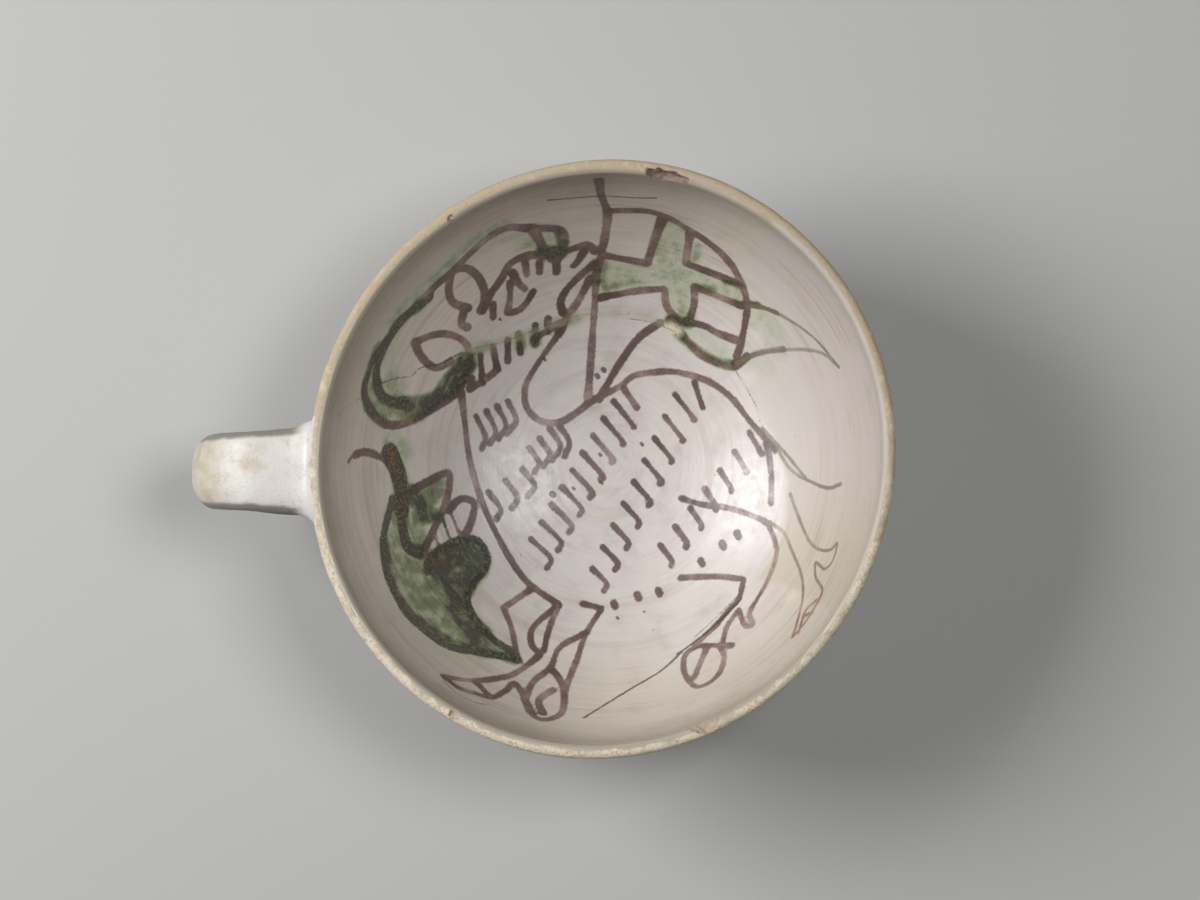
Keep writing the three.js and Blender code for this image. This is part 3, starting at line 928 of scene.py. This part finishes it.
def makeBowl():
    body = throwBody()
    luteHandle(body)
    chipTree = breakChips(body)
    ink = inkStrokes()
    thin = [stroke(line, brush["thread"], 200 + i) for i, line in enumerate(threads)]
    split = crackStrokes()
    mend = [stroke(mendLine, brush["mend"], 400)]
    refine(body, insideField(body, ink), brush["fineInk"])
    for limit in brush["fineThin"]:
        refine(body, insideField(body, thin + split), limit)
    clearSlivers(body)
    giveRelief(body)
    storeFields(body, ink, thin, split, mend, chipTree)
    focus(body)
    bpy.ops.object.shade_smooth()
    triangles = sum(len(p.vertices) - 2 for p in body.data.polygons)
    print("bowl made:", triangles, "triangles")
    return body


# The glaze: short hands for laying out its nodes, then its layers from the ground up
skin = bpy.data.materials.new("painted_glaze")
skin.use_nodes = True
tree = skin.node_tree
tree.nodes.clear()

glaze = {
    # three tints also carry painted shade: the thin grey glaze of the lip, the tan stain, and the dark of
    # the handle's sides
    "floor": (217, 209, 205), "lilac": (205, 197, 198), "wall": (207, 198, 185), "thinGlazeAndShade": (178, 169, 152),
    "wisp": (226, 220, 214), "stainAndShade": (184, 170, 143), "smear": (164, 150, 130), "speck": (92, 76, 60),
    "inkPale": (138, 111, 103), "inkDark": (84, 63, 57), "rust": (146, 96, 50),
    "threadOlive": (118, 111, 86), "threadRust": (128, 80, 62),
    "greenPale": (180, 188, 162), "greenMid": (118, 129, 94), "greenDark": (50, 51, 42),
    "patchHigh": (205, 196, 191), "patchLow": (198, 188, 171), "mend": (178, 177, 148),
    "crack": (70, 58, 48), "clay": (230, 219, 197), "clayDeep": (184, 164, 134), "ochre": (190, 154, 100),
    "chip": (136, 118, 106), "chipPale": (192, 174, 152), "footClay": (198, 172, 140),
    "handleTop": (217, 212, 207), "handleSideShade": (132, 125, 114),
    "gloss": 0.33, "bump": 0.0001, "ior": 1.62,
}


def node(kind, inputs, **settings):
    made = tree.nodes.new(kind)
    for name, value in settings.items():
        setattr(made, name, value)
    for socket, value in inputs.items():
        if isinstance(value, bpy.types.NodeSocket):
            tree.links.new(value, made.inputs[socket])
        else:
            made.inputs[socket].default_value = value
    return made


def colour(red, green, blue):  # from the 0 to 255 of a paint chart to the shader's linear values
    steps = [value / 255 for value in (red, green, blue)]
    return (*[s / 12.92 if s < 0.04045 else ((s + 0.055) / 1.055) ** 2.4 for s in steps], 1.0)


def calc(operation, first, *others):
    for other in others:
        first = node("ShaderNodeMath", {0: first, 1: other}, operation=operation).outputs[0]
    return first


def plus(*terms):
    return calc("ADD", *terms)


def less(first, second):
    return calc("SUBTRACT", first, second)


def product(*terms):
    return calc("MULTIPLY", *terms)


def most(*terms):
    return calc("MAXIMUM", *terms)


def rise(value, low, high, start=0.0, end=1.0):  # a soft step from start to end
    inputs = {"Value": value, "From Min": low, "From Max": high, "To Min": start, "To Max": end}
    return node("ShaderNodeMapRange", inputs, interpolation_type="SMOOTHSTEP").outputs[0]


def over(share, under, upper):  # one colour laid over another, each a socket or the name of a tint
    under, upper = [colour(*glaze[tint]) if isinstance(tint, str) else tint for tint in (under, upper)]
    return node("ShaderNodeMix", {0: share, 6: under, 7: upper}, data_type="RGBA").outputs[2]


def field(name):
    return node("ShaderNodeAttribute", {}, attribute_name=name).outputs["Fac"]


def cloud(vector, size, detail, roughness):
    inputs = {"Vector": vector, "Scale": 1 / size, "Detail": detail, "Roughness": roughness}
    return node("ShaderNodeTexNoise", inputs).outputs[0]


def frayed(edge, grain, amount):  # an edge moved to and fro by a noise
    return plus(edge, product(less(grain, 0.5), amount))


def wheelCoordinates(place):  # slow around the wheel, quick up the wall
    across = node("ShaderNodeVectorMath", {0: place, 1: (1, 1, 0)}, operation="MULTIPLY").outputs[0]
    radius = node("ShaderNodeVectorMath", {0: across}, operation="LENGTH").outputs["Value"]
    heading = node("ShaderNodeVectorMath", {0: across}, operation="NORMALIZE").outputs[0]
    turned = node("ShaderNodeSeparateXYZ", {0: heading}).outputs
    climb = plus(radius, node("ShaderNodeSeparateXYZ", {0: place}).outputs[2])
    spread = [product(turned[axis], 1.6) for axis in (0, 1)]
    return node("ShaderNodeCombineXYZ", {0: spread[0], 1: spread[1], 2: climb}).outputs[0]


class Layers:  # the noises and fields that the layers of the surface share
    def __init__(self):
        spot = node("ShaderNodeTexCoord", {}).outputs["Object"]
        self.place = node("ShaderNodeVectorMath", {0: spot, "Scale": 1 / mm}, operation="SCALE").outputs[0]
        self.x, self.y, self.z = node("ShaderNodeSeparateXYZ", {0: self.place}).outputs
        self.fine = cloud(self.place, 0.7, 4.0, 0.6)
        self.middling = cloud(self.place, 3.0, 4.0, 0.6)
        self.broad = cloud(self.place, 15.0, 3.0, 0.55)
        self.patches = cloud(self.place, 8.0, 4.0, 0.6)
        wheel = wheelCoordinates(self.place)
        self.streaks = cloud(wheel, 0.9, 3.0, 0.6)
        self.bands = cloud(wheel, 4.0, 2.0, 0.5)
        self.smears = cloud(wheel, 1.7, 6.0, 0.72)
        self.handle = field("handle")
        self.body = less(1.0, self.handle)
        self.outside = field("outside")
        self.restored = field("patch")


def groundLayer(on):  # white tin glaze, warmer and thinner up the wall, with painted shade on the upper left and at the bottom
    thin = plus(rise(less(on.y, on.x), 48.0, 90.0, 0.0, 9.0),
                rise(on.y, -40.0, -66.0, 0.0, 7.0))  # painted shade: darker glaze on the upper left and at the bottom, partly thinner glaze
    climb = plus(on.z, thin, product(on.broad, 18.0))
    ground = over(rise(on.patches, 0.42, 0.68, 0.0, 0.75), "floor", "lilac")
    ground = over(rise(climb, 20.0, 46.0), ground, "wall")
    # the thin grey glaze by the lip, reaching further down on the upper left and at the bottom, is partly
    # painted shade
    ground = over(rise(climb, 52.0, 72.0, 0.0, 0.95), ground, "thinGlazeAndShade")
    ground = over(rise(on.patches, 0.56, 0.8, 0.0, 0.45), ground, "stainAndShade")
    retouched = over(rise(on.y, -26.0, 6.0), "patchLow", "patchHigh")
    retouched = over(rise(climb, 56.0, 76.0, 0.0, 0.5), retouched, "thinGlazeAndShade")
    ground = over(product(on.restored, 0.9), ground, retouched)
    thrown = product(on.body, rise(on.x, 20.0, -40.0, 0.9, 1.35), rise(on.restored, 0.0, 1.0, 1.0, 0.5))
    for mark, tint in ((rise(on.streaks, 0.52, 0.72, 0.0, 0.3), "wisp"),
                       (rise(on.streaks, 0.46, 0.28, 0.0, 0.26), "thinGlazeAndShade"),
                       (rise(on.bands, 0.5, 0.72, 0.0, 0.28), "thinGlazeAndShade")):
        ground = over(product(mark, thrown), ground, tint)
    dirt = product(rise(on.smears, 0.5, 0.66, 0.0, 0.55), rise(on.broad, 0.36, 0.6),
                   rise(climb, 26.0, 44.0), on.body)
    return over(dirt, ground, "smear")  # dirt left in the wiping marks of the wall


def handleLayer(on, ground):  # whiter glaze, stained and with painted shade where the loop bends down at its end, and painted shade along the edges
    top = over(rise(on.patches, 0.54, 0.76, 0.0, 0.6), "handleTop", "stainAndShade")
    # painted shade where the strap bends down at the end of the loop, in the tan of the stains and mottled
    top = over(product(rise(on.x, -86.0, -95.0), rise(on.middling, 0.3, 0.7, 0.35, 0.8)), top, "stainAndShade")
    grit = product(rise(on.middling, 0.48, 0.66), rise(on.fine, 0.5, 0.62), 0.6)
    top = over(grit, top, "clayDeep")
    side = field("strapSide")
    aside = plus(side, product(on.patches, 0.2))
    # painted shade along the strap's sides, darker than its top
    edge = product(rise(aside, 0.88, 0.99, 0.0, 0.95), rise(on.x, -70.0, -74.0))
    top = over(edge, top, "handleSideShade")
    root = product(on.outside, rise(on.x, -62.0, -66.0), rise(side, 1.3, 1.12), rise(on.z, 44.0, 50.0))
    return over(most(on.handle, root), ground, top)


def specks(on, apart, widest):
    cells = node("ShaderNodeTexVoronoi", {"Vector": on.place, "Scale": 1 / apart})
    chance = node("ShaderNodeSeparateColor", {0: cells.outputs["Color"]}).outputs[0]
    return calc("LESS_THAN", cells.outputs["Distance"], rise(chance, 0.64, 1.0, 0.0, widest / apart))


def speckMask(on):  # pinholes, and finer pepper on the floor
    pepper = product(specks(on, 2.2, 0.2), rise(on.z, 26.0, 14.0), rise(on.broad, 0.4, 0.56, 0.2, 0.8))
    return most(specks(on, 9.0, 0.33), pepper)


def paintLayer(on, ground):  # green washes under purple-brown brush lines
    green = product(field("green"), rise(on.middling, 0.28, 0.72, 0.66, 1.26),
                    rise(on.streaks, 0.3, 0.7, 0.85, 1.1))
    deep = over(rise(green, 0.22, 0.6), "greenPale", "greenMid")
    deep = over(rise(green, 0.55, 0.95), deep, "greenDark")
    deep = over(rise(on.fine, 0.5, 0.68, 0.0, 0.35), deep, "greenMid")
    painted = over(rise(green, 0.02, 0.4, 0.0, 0.94), ground, deep)
    tone = field("inkTone")
    load = plus(tone, less(on.middling, 0.5))
    ink = over(rise(load, 0.15, 1.0), "inkPale", "inkDark")
    ink = over(rise(on.fine, 0.5, 0.64, 0.0, 0.7), ink, "inkDark")
    mixed = most(rise(green, 0.45, 0.9), rise(tone, 1.2, 2.0))  # where the ink took up green
    ink = over(product(mixed, 0.8), ink, "greenDark")
    mottle = product(rise(on.fine, 0.46, 0.64, 0.0, 0.7), rise(on.middling, 0.3, 0.55))
    ink = over(product(mixed, mottle), ink, "greenMid")
    cover = product(rise(frayed(field("ink"), on.fine, 0.8), 0.2, -0.3), rise(load, 0.0, 0.6, 0.66, 0.95),
                    rise(on.fine, 0.2, 0.45, 0.82, 1.0))
    painted = over(cover, painted, ink)
    painted = over(product(field("rust"), rise(on.fine, 0.42, 0.62)), painted, "rust")
    thread = rise(frayed(field("thread"), on.fine, 0.4), 0.2, -0.2)
    threadTint = over(rise(on.y, -27.0, -33.0), "threadOlive", "threadRust")
    return over(product(thread, rise(on.patches, 0.3, 0.6, 0.45, 0.85)), painted, threadTint)


def ageLayer(on, painted):  # the mended break, hair cracks, flakes, worn lip, bare foot and chips
    mend = frayed(field("mend"), on.middling, 4.0)
    painted = over(rise(mend, 0.9, -0.6, 0.0, 0.42), painted, "mend")
    crack = rise(frayed(field("crack"), on.fine, 0.5), 0.1, -0.12)
    painted = over(product(crack, 0.8), painted, "crack")
    painted = over(product(field("flake"), rise(on.fine, 0.3, 0.5)), painted, "clay")
    across = frayed(field("across"), on.middling, 2.6)
    below = frayed(field("below"), on.middling, 5.0)
    root = product(rise(on.x, -60.0, -64.0), rise(calc("ABSOLUTE", on.y, 0.0), 15.0, 10.0))
    glazedRoot = product(root, rise(across, 0.8, 1.2))
    worn = product(rise(across, -0.6, -0.1), rise(below, 2.0, 1.1), less(1.0, glazedRoot))
    pale = plus(on.middling, rise(on.y, 55.0, -55.0, -0.2, 0.18))
    lip = over(rise(pale, 0.34, 0.72, 0.1, 0.95), "clayDeep", "clay")
    lip = over(rise(on.fine, 0.5, 0.66, 0.0, 0.6), lip, "clayDeep")
    lip = over(product(rise(on.fine, 0.54, 0.62), rise(on.patches, 0.46, 0.6), 0.6), lip, "ochre")
    painted = over(product(worn, 0.9), painted, lip)
    foot = product(on.outside, rise(frayed(on.z, on.broad, 14.0), 7.5, 6.6))
    painted = over(foot, painted, "footClay")
    chip = rise(frayed(field("chip"), on.fine, 0.4), 0.24, 0.06)
    broken = over(rise(on.y, 8.0, -8.0, 0.0, 0.8), "chip", "chipPale")
    broken = over(rise(on.fine, 0.5, 0.68, 0.0, 0.6), broken, "chipPale")
    return over(chip, painted, broken), most(worn, foot, chip), crack


def glazeBowl(bowl):
    on = Layers()
    pinholes = speckMask(on)
    ground = over(product(pinholes, 0.75), handleLayer(on, groundLayer(on)), "speck")
    painted, bare, crack = ageLayer(on, paintLayer(on, ground))
    gloss = plus(rise(on.middling, 0.3, 0.75, glaze["gloss"] - 0.04, glaze["gloss"] + 0.14),
                 product(bare, 0.5), product(on.handle, 0.14), product(on.restored, 0.2))
    grain = product(on.fine, rise(most(bare, product(on.handle, 0.5)), 0.0, 1.0, 0.2, 1.8))
    surface = plus(grain, product(on.streaks, 0.35))
    for mask, depth in ((crack, 1.2), (pinholes, 0.8), (bare, 1.0)):
        surface = less(surface, product(mask, depth))
    bump = node("ShaderNodeBump", {"Strength": 1.0, "Distance": glaze["bump"], "Height": surface})
    finish = {"Base Color": painted, "Roughness": gloss, "Normal": bump.outputs[0], "IOR": glaze["ior"]}
    shader = node("ShaderNodeBsdfPrincipled", finish)
    node("ShaderNodeOutputMaterial", {"Surface": shader.outputs[0]})
    bowl.data.materials.clear()
    bowl.data.materials.append(skin)
    print("glaze laid:", len(tree.nodes), "nodes")


# Studio: a plain pale floor, a softbox low on the left and a soft light overhead
studio = {
    "floorSize": 4.0, "floorTint": (190, 190, 188), "floorGloss": 0.9, "floorDrop": 0.0003,
    "keyTowards": 164.0, "keyHeight": 40.0, "keyDistance": 0.9, "keySize": 0.45, "keyPower": 7.5,
    "fillTowards": 17.0, "fillHeight": 68.0, "fillDistance": 1.1, "fillSize": 0.36, "fillPower": 4.8,
    "ambient": 0.015,
}


def softbox(name, towards, height, distance, size, power):
    data = bpy.data.lights.new(name, "AREA")
    data.shape = "SQUARE"
    data.size = size
    data.energy = power
    lamp = bpy.data.objects.new(name, data)
    bearing, climb = math.radians(towards), math.radians(height)
    level = math.cos(climb)
    back = Vector((level * math.cos(bearing), level * math.sin(bearing), math.sin(climb)))
    lamp.location = Vector((0, 0, clay["height"] * mm)) + back * distance
    lamp.rotation_euler = back.to_track_quat("Z", "Y").to_euler()
    bpy.context.scene.collection.objects.link(lamp)


def setStudio():
    bpy.ops.object.select_all(action="DESELECT")
    bpy.ops.mesh.primitive_plane_add(size=studio["floorSize"], location=(0, 0, -studio["floorDrop"]))
    floor = bpy.context.object
    floor.name = "studio_floor"
    material = bpy.data.materials.new("studio_floor")
    material.use_nodes = True
    shader = material.node_tree.nodes["Principled BSDF"]
    shader.inputs["Base Color"].default_value = colour(*studio["floorTint"])
    shader.inputs["Roughness"].default_value = studio["floorGloss"]
    floor.data.materials.append(material)
    for kind in ("key", "fill"):
        softbox(kind, *[studio[kind + part] for part in ("Towards", "Height", "Distance", "Size", "Power")])
    world = bpy.data.worlds.new("studio")
    world.use_nodes = True
    world.node_tree.nodes["Background"].inputs["Color"].default_value = (1, 1, 1, 1)
    world.node_tree.nodes["Background"].inputs["Strength"].default_value = studio["ambient"]
    bpy.context.scene.world = world
    bpy.context.scene.view_settings.view_transform = "Standard"


setCamera()
bowl = makeBowl()
glazeBowl(bowl)
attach(bowl, "root")
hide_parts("bowl")
setStudio()
print("studio set")
